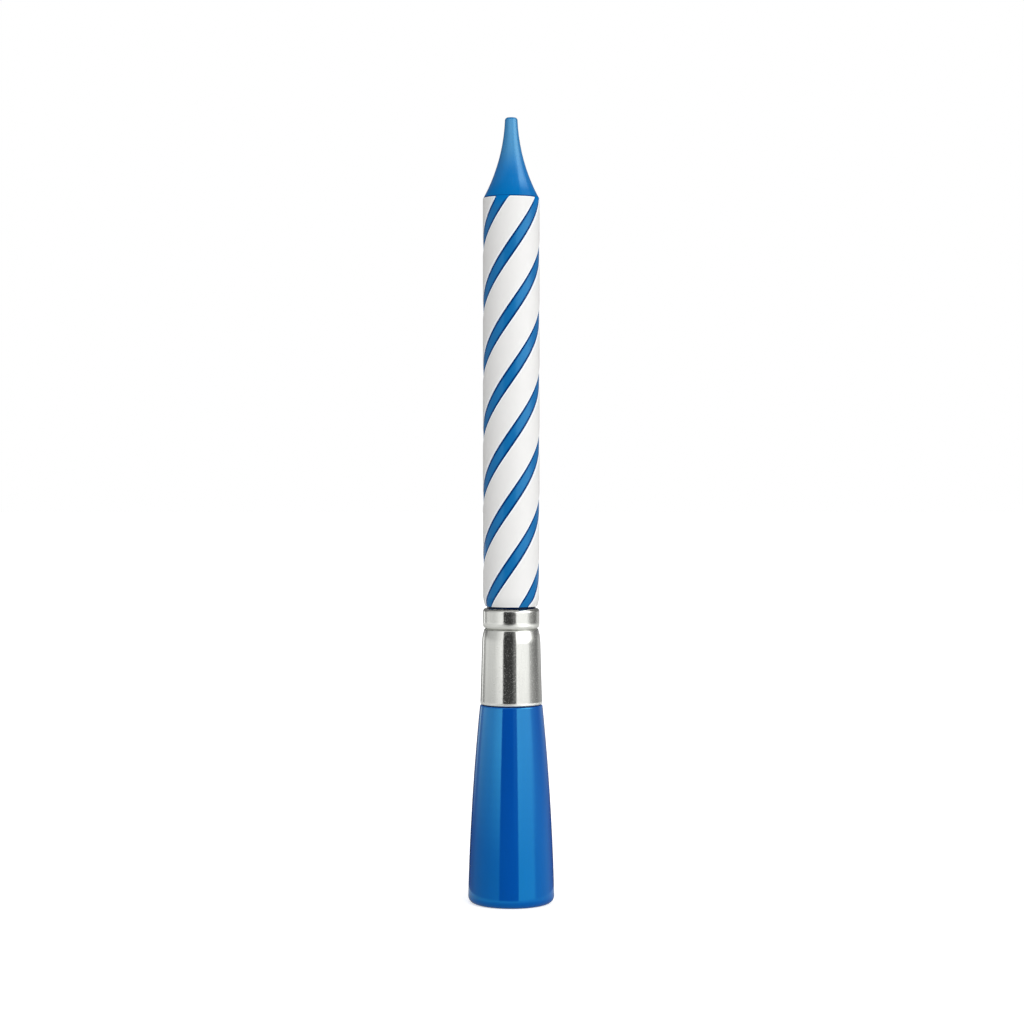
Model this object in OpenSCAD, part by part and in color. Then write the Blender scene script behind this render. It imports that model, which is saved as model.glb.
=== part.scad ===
// Battery candle that lights at the tip and plays a tune when the candle is twisted on its handle.
// Millimetres, +Z up along the candle. The origin is the centre of the foot, and the front faces -Y.

/* [Candle] */
// Diameter over the white panels
candle_d = 14.15; // [13:0.05:17]
// Height of the striped body, from its foot to the base of the tip
candle_h = 102.2; // [60:0.1:140]
// Thickness of the white panels
panel_t = 1; // [0.95:0.05:1.2]
// Wall of the blue tube under the panels
core_wall = 1.1; // [0.9:0.05:1.5]
// Number of blue stripes
stripe_count = 4; // [3:1:6]
// Width of one stripe round the candle, in degrees
stripe_angle = 28.5; // [14:0.5:36]
// Rise of a stripe in one full turn
stripe_lead = 62.8; // [50:0.1:120]
// Height above the candle's foot at which a stripe crosses the front
stripe_front = 26.9; // [0:0.1:60]
// How far the stripes lie below the panels
rib_drop = 0.14; // [0.04:0.02:0.2]
// How far the stripes and panels stop above the foot of the blue tube
foot_lift = 0.5; // [0.2:0.05:1]
// Height of the rounded foot of the stripes and panels
foot_round_h = 2.4; // [0.8:0.1:3]
// How far the rounded foot draws in
foot_round_w = 0.55; // [0.2:0.05:0.6]

/* [Tip] */
// Height of the tip above the striped body
tip_h = 20.05; // [18:0.05:28]
// Diameter of the tip's end
tip_end_d = 3.06; // [2.5:0.02:3.4]
// Height of the straight-sided end of the tip
tip_neck_h = 3.8; // [2:0.1:6]
// Diameter where the straight end meets the hollow side
tip_neck_d = 3.64; // [3.4:0.02:5]
// Step in from the panels to the base of the tip
tip_ledge = 0.12; // [0.05:0.01:0.5]
// Depth of the hollow curve of the tip's side
tip_hollow = 0.82; // [0.4:0.01:1]
// Radius on the tip's end
tip_edge_r = 0.7; // [0.3:0.05:1]

/* [Ring and sleeve] */
// Diameter of the ring
ring_d = 14.12; // [13.8:0.02:17]
// Height of the ring
ring_h = 5; // [3:0.1:7]
// Radius on the ring's edges
ring_edge_r = 0.8; // [0.3:0.1:1.2]
// Height of the groove between the rounded edges of ring and sleeve
groove_h = 0.1; // [0.1:0.05:0.6]
// Height of the sleeve
sleeve_h = 18.9; // [15:0.1:26]
// Diameter at the top of the sleeve, before its upper end is drawn in
sleeve_top_d = 14.44; // [14:0.02:16]
// Diameter at the foot of the sleeve
sleeve_bottom_d = 15.47; // [14.8:0.01:17]
// Wall of the sleeve
sleeve_wall = 0.55; // [0.4:0.05:0.7]
// Height over which the sleeve's upper end draws in
sleeve_draw_h = 3.4; // [2:0.1:4.5]
// Radius of the curve along which it draws in
sleeve_draw_r = 11.5; // [9:0.5:20]
// Radius on the sleeve's upper lip
sleeve_lip_r = 0.5; // [0.3:0.05:0.5]
// Radius of the sleeve's rolled foot
sleeve_foot_r = 0.25; // [0.1:0.05:0.4]

/* [Handle] */
// Height of the handle, up to its seam with the sleeve
handle_h = 49.65; // [44:0.05:70]
// Diameter at the foot
handle_bottom_d = 21.7; // [20.5:0.05:26]
// Step out from the sleeve to the top of the handle
handle_step = 0.1; // [0.04:0.02:0.6]
// Swell of the handle's side beyond a straight cone
handle_belly = 0.48; // [0.1:0.02:1]
// Wall of the handle
handle_wall = 1.5; // [1.2:0.1:1.7]
// Thickness of the shoulder that closes the handle's top
shoulder_t = 2; // [1.6:0.1:3]
// Radius on the foot's edge
foot_edge_r = 1.7; // [0.6:0.1:1.8]
// Radius on the handle's upper edge
handle_edge_r = 0.35; // [0.2:0.05:0.6]

/* [Twist switch] */
// Diameter of the neck that the candle turns on
neck_d = 10.4; // [9.8:0.1:10.8]
// Wall of the neck
neck_wall = 1.4; // [1.2:0.1:1.6]
// Turn between off and on, in degrees
twist_angle = 60; // [40:1:80]
// Width of the stop lug, in degrees
lug_angle = 16; // [10:1:24]
// Height of the stop lug
lug_h = 2.3; // [1.5:0.1:4]
// Depth of the lug's slot in the neck
slot_depth = 0.5; // [0.3:0.05:0.6]
// Thickness of the retaining clip
clip_t = 0.7; // [0.5:0.05:1]
// How far the clip stands out from the neck
clip_w = 0.8; // [0.5:0.05:0.9]
// Depth of the clip's groove in the neck
clip_groove = 0.55; // [0.4:0.05:0.65]
// Opening of the clip, in degrees
clip_mouth = 84; // [40:2:120]
// Length of one contact track, in degrees
track_angle = 34; // [20:1:50]
// Width of a contact track
track_w = 0.9; // [0.6:0.05:1]
// Radius of the wiper's two contact dimples
dimple_r = 0.5; // [0.4:0.02:0.6]

/* [Light] */
// Diameter of the lamp's body
led_d = 5; // [4:0.1:5.4]
// Height of the lamp
led_h = 8.6; // [7:0.1:9]
// How far the lamp's seat lies below the base of the tip
led_drop = 6.5; // [5:0.1:12]
// Diameter of the stalk that carries the lamp
stalk_d = 5; // [4.4:0.1:5.6]
// Bore of the stalk
stalk_bore = 3.2; // [3:0.1:3.6]
// Diameter of the insulated wires
wire_d = 0.8; // [0.5:0.05:1]

/* [Batteries and board] */
// Diameter of one button cell
cell_d = 7.9; // [6.8:0.1:8.6]
// Height of one button cell
cell_h = 3.6; // [2.6:0.1:4.2]
// Height of the pressed contact spring
spring_h = 2; // [1.5:0.1:3]
// Turns of the contact spring
spring_turns = 3; // [2:0.5:4]
// Wall of the battery holder
holder_wall = 1; // [0.8:0.05:1.2]
// Thickness of the metal contacts
contact_t = 0.3; // [0.2:0.05:0.4]
// Thickness of the circuit board
board_t = 1; // [0.8:0.1:1.2]
// Diameter of the sealed chip
chip_d = 6; // [4:0.1:7]
// Height of the sealed chip
chip_h = 1.3; // [0.8:0.1:1.5]

/* [Base and sounder] */
// Width of the foot's rim round the base cover
foot_rim = 2; // [1.9:0.05:2.3]
// Thickness of the base cover
cover_t = 1.7; // [1.2:0.1:2.2]
// How far the base cover lies above the foot
cover_recess = 0.3; // [0.2:0.05:0.8]
// Diameter of one sound hole
sound_hole_d = 1.2; // [0.8:0.1:1.4]
// Number of sound holes round the middle one
sound_holes = 6; // [4:1:8]
// Radius of the ring of sound holes
sound_ring_r = 2.6; // [2:0.1:3]
// Number of base screws
screw_count = 3; // [2:1:3]
// Diameter of a screw's shank
screw_d = 1.3; // [1:0.05:1.4]
// Diameter of a screw's head
screw_head_d = 2.4; // [2:0.1:2.6]
// Height of a screw's head
screw_head_h = 0.8; // [0.5:0.05:1]
// Depth of the screws in the handle's bosses
screw_grip = 4.5; // [3:0.1:6]
// Diameter of the sounder's brass disc
piezo_d = 10; // [8:0.1:10.4]
// Thickness of the brass disc, and of the ceramic on it
piezo_t = 0.2; // [0.15:0.05:0.3]

/* [Hidden] */
$fn = 64;

// Clearances: pressed or bonded pieces, running pieces, and the overshoot of a cut
fit_gap = 0.03;
running_gap = 0.06;
bearing_gap = 0.12;
cut = 0.5;

// Colours
blue = [0.0, 0.36, 0.66];
tip_blue = [0.1, 0.46, 0.7];
white = [0.93, 0.93, 0.92];
steel = [0.72, 0.72, 0.7];
brass = [0.8, 0.66, 0.35];
natural = [0.88, 0.87, 0.83];
dark = [0.13, 0.13, 0.14];

// Levels of the visible pieces, from the foot up
seam_gap = 0.25;
sleeve_z0 = handle_h + seam_gap;
sleeve_z1 = sleeve_z0 + sleeve_h;
ring_z0 = sleeve_z1 + groove_h;
ring_z1 = ring_z0 + ring_h;
candle_z0 = ring_z1 + fit_gap;
candle_z1 = candle_z0 + candle_h;
tip_z1 = candle_z1 + tip_h;

// Candle
panel_r = candle_d / 2;
core_r = panel_r - panel_t;
core_bore_r = core_r - core_wall;
tip_base_r = panel_r - tip_ledge;
tip_end_r = tip_end_d / 2;
panel_bevel = 0.12;
strip_gap = 0.04;
foot_bow = 1.5;

// Sleeve: a taper that runs into an arc at its upper end, and the room inside for what is pressed in
sleeve_bottom_r = sleeve_bottom_d / 2;
sleeve_taper = atan((sleeve_bottom_r - sleeve_top_d / 2) / sleeve_h);
draw_z0 = sleeve_z1 - sleeve_draw_h;
function sleeve_cone(z) = sleeve_bottom_r - (z - sleeve_z0) * tan(sleeve_taper);
draw_centre = [sleeve_cone(draw_z0), draw_z0] - sleeve_draw_r * [cos(sleeve_taper), sin(sleeve_taper)];
function draw_arc(z, r) = draw_centre[0] + sqrt(r * r - pow(z - draw_centre[1], 2));
function sleeve_in(z) = (z < draw_z0 ? sleeve_cone(z) : draw_arc(z, sleeve_draw_r)) - sleeve_wall;
mouth_r = sleeve_in(sleeve_z1);
ring_neck_h = 1.2;
plug_flange_t = 1.4;
plug_post_h = 9;
plug_bore_gap = 0.2;
plug_z0 = sleeve_z1 - ring_neck_h - plug_flange_t - fit_gap;
plug_post_r = core_bore_r - fit_gap;

// Neck, clip and bush
neck_r = neck_d / 2;
neck_bore_r = neck_r - neck_wall;
neck_top_room = 0.5;
neck_land = 1.2;
neck_z1 = plug_z0 - neck_top_room;
clip_z1 = neck_z1 - neck_land;
clip_z0 = clip_z1 - clip_t;
clip_r = neck_r + clip_w;
bush_z1 = clip_z0 - bearing_gap;
bush_r = neck_r + running_gap;
skirt_w = 0.2;
wiper_t = 0.3;
wiper_gap = 0.08;
wiper_margin = 0.1;
track_gap = 0.4;
track_r0 = neck_r + track_gap;
wiper_z0 = handle_h + wiper_gap + dimple_r;
bush_z0 = wiper_z0 + wiper_t;
slot_play = 1;

// Handle
handle_top_r = sleeve_bottom_r + handle_step;
handle_bottom_r = handle_bottom_d / 2;
shoulder_z0 = handle_h - shoulder_t;

// Trough that the cells lie in
cell_r = cell_d / 2;
cell_gap = 0.1;
trough_r0 = cell_r + cell_gap;
trough_r1 = trough_r0 + holder_wall;

// Base cover, screws and sounder, from the foot up; the screws lie midway between trough and cover's edge
cover_gap = 0.1;
cover_z1 = cover_recess + cover_t;
base_bore_r = handle_bottom_r - foot_rim;
cover_r = base_bore_r - cover_gap;
post_h = 3.6;
boss_wall = 0.65;
boss_r = screw_d / 2 + boss_wall;
screw_r = (max(trough_r1, piezo_d / 2) + cover_r) / 2;
screw_sink = 0.1;
screw_seat = cover_recess + screw_head_h + screw_sink;
piezo_seat_h = 1.2;
piezo_seat_w = 0.9;
piezo_z0 = cover_z1 + piezo_seat_h;
ceramic_share = 0.72;

// Battery holder, cells and board, from the base up
flange_z0 = cover_z1 + post_h;
flange_t = 1.2;
flange_z1 = flange_z0 + flange_t;
flange_gap = 0.15;
boss_end = 1.5;
boss_h = screw_grip + boss_end;
cell_z0 = flange_z1 + contact_t + spring_h;
cell_count = 3;
cell_z1 = cell_z0 + cell_count * cell_h;
cell_cap_h = 0.6;
cell_cap_inset = 0.95;
top_plate_z0 = cell_z1 + contact_t;
top_plate_t = 1.2;
top_plate_z1 = top_plate_z0 + top_plate_t;
stalk_flange_t = 1.5;
stalk_flange_w = 0.8;
stalk_flange_z0 = shoulder_z0 - stalk_flange_t;
board_gap = 0.2;
board_z0 = top_plate_z1 + fit_gap;
board_z1 = stalk_flange_z0 - board_gap;
tail_inset = 0.12;
tail_x = track_r0 + tail_inset;
tail_w = 1;
tail_lap = 2;
board_w = 2 * (tail_x - fit_gap);
board_front = -wire_d / 2 - fit_gap;
board_back = board_front - board_t;
board_groove = 1.1;
guide_wall = 1.1;
guide_h = 9;
part_gap = 0.4;
transistor_h = 4.2;
transistor_leg_h = 2;
transistor_z0 = board_z0 + tail_lap + transistor_leg_h + part_gap;
chip_z = transistor_z0 + transistor_h + part_gap + chip_d / 2;
contact_w = 2;
wire_room = 0.6;
wire_x = 3;
wire_y = trough_r1 + wire_d + wire_room;

// Light
led_r = led_d / 2;
led_rim = 0.4;
led_rim_h = 1;
led_z0 = candle_z1 - led_drop;
led_room = 0.7;
leg_x = 1.15;
leg_r = 0.25;
leg_h = 3;
stalk_r = stalk_d / 2;
cup_r = led_r + led_rim + fit_gap;
cup_wall = 0.5;
cup_out_r = cup_r + cup_wall;
cup_h = 2;

// A ring's half section between two radii and two levels
module band(r0, r1, z0, z1) {
    translate([r0, z0]) square([r1 - r0, z1 - z0]);
}

module tube(r0, r1, z0, z1) {
    rotate_extrude() band(r0, r1, z0, z1);
}

module disc(r, z0, z1) {
    translate([0, 0, z0]) cylinder(r = r, h = z1 - z0);
}

// A block bent round the axis, from angle a0 to angle a1
module arc_block(r0, r1, z0, z1, a0, a1) {
    rotate(a0) rotate_extrude(angle = a1 - a0) band(r0, r1, z0, z1);
}

// What lies outside a circle between two directions, to be cut off a corner that the circle rounds
module round_trim(centre, r, u, v) {
    reach = r + cut;
    difference() {
        polygon([centre, centre + u * reach, centre + (u + v) * reach, centre + v * reach]);
        translate(centre) circle(r = r);
    }
}

// The same for a corner at [x, z]; up is 1 for a top corner and -1 for a bottom one, and lean is the angle
// by which the side spreads, away from the corner
module corner_trim(x, z, r, up, lean = 0) {
    centre = [x - r * (1 - sin(lean)) / cos(lean), z - up * r];
    round_trim(centre, r, [cos(lean), up * sin(lean)], [0, up]);
}

// Disc outside the line from p0 up to p1 whose rim passes through both and cuts into the side by hollow
module hollow_disc(p0, p1, hollow) {
    along = (p1 - p0) / norm(p1 - p0);
    r = (pow(norm(p1 - p0) / 2, 2) + hollow * hollow) / (2 * hollow);
    translate((p0 + p1) / 2 + [along[1], -along[0]] * (r - hollow)) circle(r = r, $fn = 256);
}

// Points from p0 up to p1 along a flat curve that swells sideways by bulge at its middle
swell_steps = 20;
function swell(p0, p1, bulge) =
    [for (i = [0 : swell_steps]) let (t = i / swell_steps) p0 + (p1 - p0) * t + [4 * bulge * t * (1 - t), 0]];

// Pieces placed round the axis
module round_axis(count, r, first = 90) {
    for (i = [0 : count - 1]) rotate(first + i * 360 / count) translate([r, 0, 0]) children();
}

// Wire along a list of points, with a ball a little thicker than the wire at each bend and end
wire_ball = 1.08;
module wire(points, r) {
    for (p = points) translate(p) sphere(r = r * wire_ball);
    for (i = [1 : len(points) - 1]) {
        d = points[i] - points[i - 1];
        tilt = [0, acos(d[2] / norm(d)), atan2(d[1], d[0])];
        translate(points[i - 1]) rotate(tilt) cylinder(r = r, h = norm(d));
    }
}

// Closed solid through equal rings of points; twin marks the ring's points whose faces split the other way
module loft(rings, twin) {
    n = len(rings[0]);
    last = len(rings) - 1;
    points = [for (ring = rings) each ring];
    sides = [for (k = [0 : last - 1], i = [0 : n - 1])
        let (a = k * n + i, b = k * n + (i + 1) % n, c = b + n, d = a + n)
        each (twin(i) ? [[a, c, b], [a, d, c]] : [[a, d, b], [b, d, c]])];
    ends = [[for (i = [0 : n - 1]) i], [for (i = [n - 1 : -1 : 0]) last * n + i]];
    polyhedron(points = points, faces = concat(sides, ends));
}

// Spiral strips of the candle: stripes and panels share one helix and one rounded foot
strip_z0 = candle_z0 + foot_lift;
strip_z1 = candle_z1 - fit_gap;
strip_slices = 56;
foot_slices = 4;
rib_facets = 3;
panel_facets = 6;
function stripe_turn(z) = 360 * (z - candle_z0 - stripe_front) / stripe_lead - 90;
function foot_draw(z) = foot_round_w * pow(max(0, 1 - (z - strip_z0) / foot_round_h), foot_bow);
function top_draw(z) = z > strip_z1 - panel_bevel / 2 ? panel_bevel : 0;
strip_levels = concat(
    [for (i = [0 : foot_slices - 1]) strip_z0 + foot_round_h * i / foot_slices],
    [for (i = [0 : strip_slices]) let (z = strip_z0 + foot_round_h)
        z + (strip_z1 - panel_bevel - z) * i / strip_slices],
    [strip_z1]);

// Section of a strip as [radius, angle] points: its bevelled outer face, then its inner face
function strip_section(outer, inner, half, steps) =
    let (bevel = panel_bevel / outer * 180 / PI)
    concat(
        [[outer - panel_bevel, -half]],
        [for (i = [0 : steps]) [outer, (half - bevel) * (2 * i / steps - 1)]],
        [[outer - panel_bevel, half]],
        [for (i = [steps : -1 : 0]) [inner, half * (2 * i / steps - 1)]]);

// One strip, width degrees wide and centred mid degrees round from a stripe; steps is the facets across it
module spiral_strip(mid, width, r, steps) {
    half = width / 2 - strip_gap / core_r * 180 / PI;
    inner = (core_r + fit_gap) / cos(half / steps);
    rings = [for (z = strip_levels)
        let (outer = r - foot_draw(z) - top_draw(z))
        [for (p = strip_section(outer, inner, half, steps))
            let (a = p[1] + mid + stripe_turn(z))
            [p[0] * cos(a), p[0] * sin(a), z]]];
    loft(rings, function (i) i > steps + 2);
}

module spiral_ribs() {
    color(tip_blue) for (i = [0 : stripe_count - 1])
        spiral_strip(i * 360 / stripe_count, stripe_angle, panel_r - rib_drop, rib_facets);
}

module candle_jacket() {
    pitch = 360 / stripe_count;
    color(white) for (i = [0 : stripe_count - 1])
        spiral_strip((i + 0.5) * pitch, pitch - stripe_angle, panel_r, panel_facets);
}

// Blue tube closed by the hollow-sided tip, with room for the lamp inside
module candle_core() {
    base = [tip_base_r, candle_z1];
    neck = [tip_neck_d / 2, tip_z1 - tip_neck_h];
    end = [tip_end_r, tip_z1];
    lean = atan((neck[0] - tip_end_r) / tip_neck_h);
    room_r = led_r + led_room;
    lamp_z1 = led_z0 + led_h + led_room;
    color(tip_blue) rotate_extrude() difference() {
        union() {
            band(0, core_r, candle_z0, candle_z1 + cut);
            difference() {
                polygon([[0, candle_z1], base, neck, end, [0, tip_z1]]);
                hollow_disc(base, neck, tip_hollow);
                corner_trim(tip_end_r, tip_z1, tip_edge_r, 1, lean);
            }
        }
        polygon([[0, candle_z0 - cut], [core_bore_r, candle_z0 - cut],
            [core_bore_r, candle_z1 - led_drop / 2], [room_r, candle_z1], [room_r, lamp_z1 - led_r],
            [0, lamp_z1]]);
    }
}

// Plug that holds candle, ring and sleeve together, and passes over the lamp's cup
module candle_plug() {
    flange_top = plug_z0 + plug_flange_t;
    color(natural) rotate_extrude() difference() {
        union() {
            band(0, sleeve_in(flange_top) - fit_gap, plug_z0, flange_top);
            band(0, plug_post_r, plug_z0, candle_z0 + plug_post_h);
        }
        band(0, cup_out_r + plug_bore_gap, plug_z0 - cut, candle_z0 + plug_post_h + cut);
    }
}

// Ring with a neck that shows as the groove and goes down into the sleeve
module collar_ring() {
    ring_r = ring_d / 2;
    stem_r = mouth_r - fit_gap;
    color(steel) rotate_extrude() difference() {
        union() {
            difference() {
                band(0, ring_r, ring_z0, ring_z1);
                corner_trim(ring_r, ring_z1, ring_edge_r, 1);
                corner_trim(ring_r, ring_z0, ring_edge_r, -1);
            }
            band(0, stem_r, sleeve_z1 - ring_neck_h, ring_z0 + ring_edge_r);
        }
        band(0, plug_post_r + fit_gap, sleeve_z0, ring_z1 + cut);
    }
}

// Half section under the sleeve's outer face, a little longer than the sleeve at both ends
module sleeve_outline() {
    low = sleeve_z0 - cut;
    high = sleeve_z1 + cut;
    difference() {
        polygon([[0, low], [sleeve_cone(low), low], [sleeve_cone(high), high], [0, high]]);
        difference() {
            translate([draw_centre[0], draw_z0]) square([sleeve_draw_r + cut, sleeve_draw_h + 2 * cut]);
            translate(draw_centre) circle(r = sleeve_draw_r, $fn = 256);
        }
    }
}

// Tapered sleeve, drawn in at its upper end, with rounded edges
module ferrule_sleeve() {
    lip_z = sleeve_z1 - sleeve_lip_r;
    lip = [draw_arc(lip_z, sleeve_draw_r - sleeve_lip_r), lip_z];
    color(steel) rotate_extrude() difference() {
        intersection() {
            sleeve_outline();
            band(0, sleeve_bottom_r, sleeve_z0, sleeve_z1);
        }
        translate([-sleeve_wall, 0]) sleeve_outline();
        round_trim(lip, sleeve_lip_r, (lip - draw_centre) / norm(lip - draw_centre), [0, 1]);
        corner_trim(sleeve_bottom_r, sleeve_z0, sleeve_foot_r, -1, -sleeve_taper);
    }
}

// Bush that turns on the neck, with a bearing skirt at its foot and the stop lug at its top
module swivel_bush() {
    color(natural) union() {
        rotate_extrude() union() {
            polygon([[bush_r, bush_z0], [sleeve_in(bush_z0) - fit_gap, bush_z0],
                [sleeve_in(bush_z1) - fit_gap, bush_z1], [bush_r, bush_z1]]);
            band(bush_r, bush_r + skirt_w, handle_h + bearing_gap, bush_z0 + cut);
        }
        arc_block(neck_r - slot_depth + running_gap, bush_r + cut, bush_z1 - lug_h, bush_z1, 0, lug_angle);
    }
}

// Contact ring with two dimples, a turn of twist_angle short of the tracks when off
module switch_wiper() {
    color(brass) union() {
        tube(track_r0 - wiper_margin, track_r0 + track_w + wiper_margin, wiper_z0, bush_z0);
        round_axis(2, track_r0 + track_w / 2, -twist_angle) translate([0, 0, wiper_z0]) intersection() {
            sphere(r = dimple_r);
            translate([0, 0, wiper_t / 2 - dimple_r]) cube(2 * dimple_r, center = true);
        }
    }
}

// Half sections of the handle: its outside, and the room inside it
handle_side = swell([handle_bottom_r, 0], [handle_top_r, handle_h], handle_belly);
function lean_of(p, q) = atan((q[0] - p[0]) / abs(q[1] - p[1]));
module handle_outline() {
    foot_lean = lean_of(handle_side[0], handle_side[1]);
    top_lean = lean_of(handle_side[swell_steps], handle_side[swell_steps - 1]);
    difference() {
        polygon(concat([[0, 0]], handle_side, [[0, handle_h]]));
        corner_trim(handle_bottom_r, 0, foot_edge_r, -1, foot_lean);
        corner_trim(handle_top_r, handle_h, handle_edge_r, 1, top_lean);
    }
}

module handle_room() {
    inside = [for (p = handle_side) p - [handle_wall, 0]];
    intersection() {
        polygon(concat([[0, -cut], inside[0] - [0, cut]], inside, [[0, handle_h]]));
        translate([0, -cut]) square([base_bore_r, shoulder_z0 + cut]);
    }
}

// Screw boss on the inside of the handle's wall
module screw_boss() {
    web = base_bore_r - screw_r + handle_wall / 2;
    difference() {
        union() {
            cylinder(r = boss_r, h = boss_h);
            translate([0, -boss_r / 2, 0]) cube([web, boss_r, boss_h]);
        }
        translate([0, 0, -cut]) cylinder(r = screw_d / 2 + fit_gap, h = screw_grip + 2 * cut);
    }
}

// Flared handle with the neck on its shoulder, pockets for the contact tracks and bosses for the screws
module handle_shell() {
    slot_z0 = bush_z1 - lug_h - bearing_gap;
    color(blue) difference() {
        union() {
            rotate_extrude() difference() {
                union() {
                    difference() {
                        handle_outline();
                        handle_room();
                    }
                    band(neck_bore_r, neck_r, shoulder_z0, neck_z1);
                }
                band(0, neck_bore_r, shoulder_z0 - cut, neck_z1 + cut);
                band(neck_r - clip_groove, neck_r + cut, clip_z0 - fit_gap, clip_z1 + fit_gap);
            }
            translate([0, 0, flange_z1]) round_axis(screw_count, screw_r) screw_boss();
        }
        arc_block(neck_r - slot_depth, neck_r + cut, slot_z0, neck_z1 + cut, -slot_play,
            twist_angle + lug_angle + slot_play);
        track_pair(fit_gap, cut);
    }
}

// The two tracks with their tails; their pockets are the same, grown by a gap and cut over the shoulder
module track_pair(gap, over) {
    tail_z0 = board_z1 - tail_lap;
    for (side = [0, 1]) mirror([side, 0, 0]) {
        arc_block(track_r0 - gap, track_r0 + track_w + gap, handle_h - contact_t - gap, handle_h + over,
            -track_angle / 2, track_angle / 2);
        translate([tail_x - gap, (board_front + board_back - tail_w) / 2 - gap, tail_z0])
            cube([contact_t + 2 * gap, tail_w + 2 * gap, handle_h - contact_t / 2 - tail_z0]);
    }
}

module switch_tracks() {
    color(brass) track_pair(0, 0);
}

// Open clip in the neck's groove
module retaining_clip() {
    mid = (twist_angle + lug_angle) / 2;
    color(steel) arc_block(neck_r - clip_groove + fit_gap, clip_r, clip_z0, clip_z1, mid + clip_mouth / 2,
        mid + 360 - clip_mouth / 2);
}

// Stalk pushed up through the neck from inside the handle, with the lamp's cup at its top
module light_stalk() {
    color(natural) rotate_extrude() difference() {
        union() {
            band(0, neck_bore_r + stalk_flange_w, stalk_flange_z0, shoulder_z0 - fit_gap);
            band(0, neck_bore_r - fit_gap, stalk_flange_z0, neck_z1);
            band(0, stalk_r, stalk_flange_z0, led_z0);
            band(0, cup_out_r, led_z0 - cup_h, led_z0 + led_rim_h);
        }
        band(0, stalk_bore / 2, stalk_flange_z0 - cut, led_z0 + cut);
        band(0, cup_r, led_z0, led_z0 + led_rim_h + cut);
    }
}

// Round-topped lamp with a rim and two legs
module tip_led() {
    color("ivory") union() {
        translate([0, 0, led_z0 + fit_gap]) {
            cylinder(r = led_r + led_rim, h = led_rim_h);
            cylinder(r = led_r, h = led_h - led_r);
            translate([0, 0, led_h - led_r]) sphere(r = led_r);
        }
        for (x = [-leg_x, leg_x])
            translate([x, 0, led_z0 - leg_h]) cylinder(r = leg_r, h = leg_h + led_rim_h);
    }
}

module led_wires() {
    z0 = board_z1 - tail_lap;
    for (side = [-1, 1]) color(side > 0 ? "firebrick" : dark)
        translate([side * leg_x, 0, z0]) cylinder(r = wire_d / 2, h = led_z0 - leg_h - z0);
}

// Board standing in the holder's guides, with its parts on the front
module circuit_board() {
    size = [board_w, board_t, board_z1 - board_z0];
    color("darkgreen") translate([-board_w / 2, board_back, board_z0]) cube(size);
}

module melody_chip() {
    ball_r = (chip_d * chip_d / 4 + chip_h * chip_h) / (2 * chip_h);
    color(dark) translate([0, board_front + fit_gap, chip_z]) intersection() {
        translate([0, chip_h - ball_r, 0]) sphere(r = ball_r);
        rotate([-90, 0, 0]) cylinder(r = chip_d, h = chip_h);
    }
}

module led_resistor() {
    body = [1.25, 0.55, 2];
    color(dark) translate([chip_d / 2, board_front + fit_gap, board_z1 - tail_lap - body[2]]) cube(body);
}

// Flat-faced transistor with its three legs bent flat to the board
module drive_transistor() {
    r = 2.2;
    flat = 1.4;
    leg_w = 0.45;
    color(dark) translate([-chip_d / 4 - leg_w, board_front + fit_gap, transistor_z0]) {
        linear_extrude(transistor_h) intersection() {
            translate([0, r - flat]) circle(r = r);
            translate([-r, 0]) square(2 * r);
        }
        for (i = [-1, 0, 1])
            translate([i * 3 * leg_w - leg_w / 2, 0, -transistor_leg_h])
                cube([leg_w, leg_w, transistor_leg_h + cut]);
    }
}

// Holder: flange under the bosses, half trough for the cells, top plate and guides for the board
module battery_holder() {
    guide_x1 = board_w / 2 + guide_wall;
    guide_y0 = board_back - guide_wall;
    guide_d = board_t + 2 * guide_wall;
    strap_w = contact_w + 2 * fit_gap;
    color(dark) difference() {
        union() {
            disc(base_bore_r - flange_gap, flange_z0, flange_z1 - fit_gap);
            arc_block(trough_r0, trough_r1, flange_z1 - cut, top_plate_z1, 180, 360);
            disc(trough_r1, top_plate_z0, top_plate_z1);
            translate([-guide_x1, guide_y0, top_plate_z0]) cube([2 * guide_x1, guide_d, top_plate_t]);
            for (side = [0, 1]) mirror([side, 0, 0])
                translate([board_w / 2 - board_groove, guide_y0, top_plate_z0])
                    cube([guide_wall + board_groove, guide_d, top_plate_t + guide_h]);
        }
        translate([-board_w / 2 - fit_gap, board_back - fit_gap, board_z0 - fit_gap])
            cube([board_w + 2 * fit_gap, board_t + 2 * fit_gap, guide_h + cut]);
        round_axis(screw_count, screw_r) disc(screw_d / 2 + cover_gap, flange_z0 - cut, flange_z1 + cut);
        for (x = [-wire_x, wire_x]) translate([x, wire_y, 0])
            disc(wire_d / 2 + cover_gap, flange_z0 - cut, flange_z1 + cut);
        translate([-strap_w / 2, -trough_r1 - cut, flange_z1 - fit_gap])
            cube([strap_w, trough_r1, contact_t + 2 * fit_gap]);
        translate([-strap_w / 2, board_front, top_plate_z0 - cut])
            cube([strap_w, contact_t + 2 * fit_gap, top_plate_t + 2 * cut]);
    }
}

// Cell with its smaller cap downwards
module button_cell(index) {
    z = cell_z0 + index * cell_h;
    edge = 0.25;
    color(steel) rotate_extrude() difference() {
        union() {
            band(0, cell_r, z + cell_cap_h, z + cell_h - fit_gap);
            band(0, cell_r - cell_cap_inset, z, z + cell_h / 2);
        }
        corner_trim(cell_r, z + cell_h - fit_gap, edge, 1);
        corner_trim(cell_r, z + cell_cap_h, edge, -1);
    }
}

module button_cell_lower() { button_cell(0); }
module button_cell_middle() { button_cell(1); }
module button_cell_upper() { button_cell(2); }

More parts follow.
